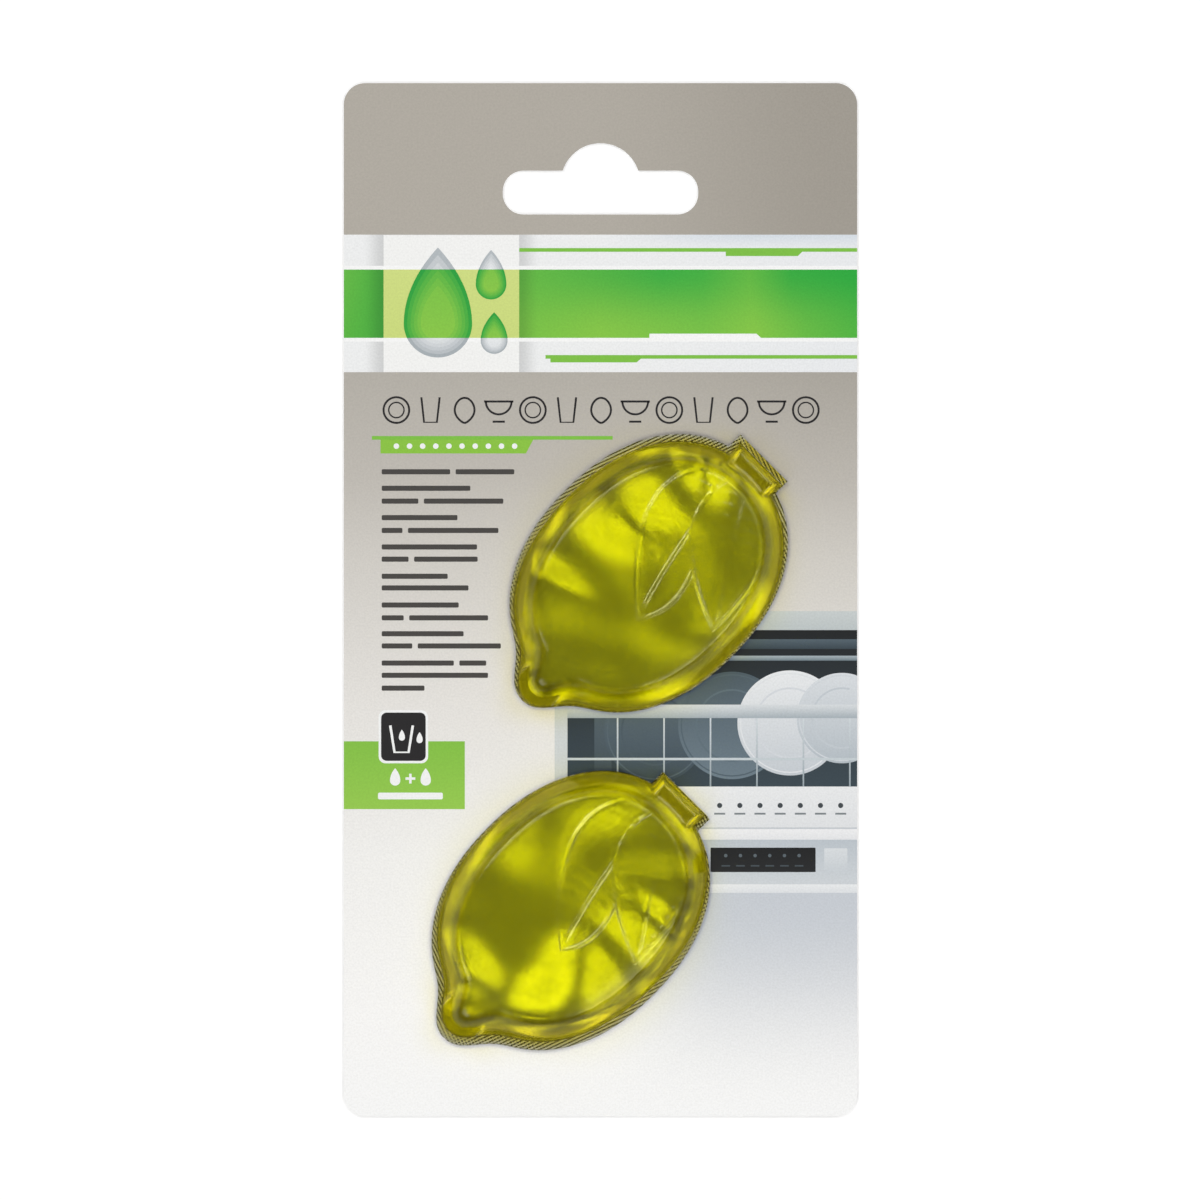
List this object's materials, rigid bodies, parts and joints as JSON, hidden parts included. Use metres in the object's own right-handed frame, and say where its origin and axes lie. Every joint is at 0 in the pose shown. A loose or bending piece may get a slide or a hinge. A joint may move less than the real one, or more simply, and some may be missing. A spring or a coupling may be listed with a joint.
{
  "type": "dishwasher freshener pack",
  "caption": "Flat hang card with a euro slot that carries two clear lemon-shaped capsules of yellow scented gel.",
  "frame": {"origin": "middle of the card's plain back, on the surface that the pack lies on", "axes": "+X to the right across the card, +Y up the card towards the hang slot, +Z out of the printed front"},
  "size_m": [0.084, 0.169, 0.0096],
  "materials": {
    "printed_board": "satin",
    "clear_shell": "gloss",
    "yellow_gel": "gloss",
    "membrane": "satin",
    "foil": "satin",
    "glue": "satin"
  },
  "bodies": {
    "root": {"backing_card": "printed_board", "upper_shell": "clear_shell", "upper_gel": "yellow_gel", "upper_membrane": "membrane", "upper_foil": "foil", "upper_glue_dots": "glue", "lower_shell": "clear_shell", "lower_gel": "yellow_gel", "lower_membrane": "membrane", "lower_foil": "foil", "lower_glue_dots": "glue"}
  },
  "joints": []
}
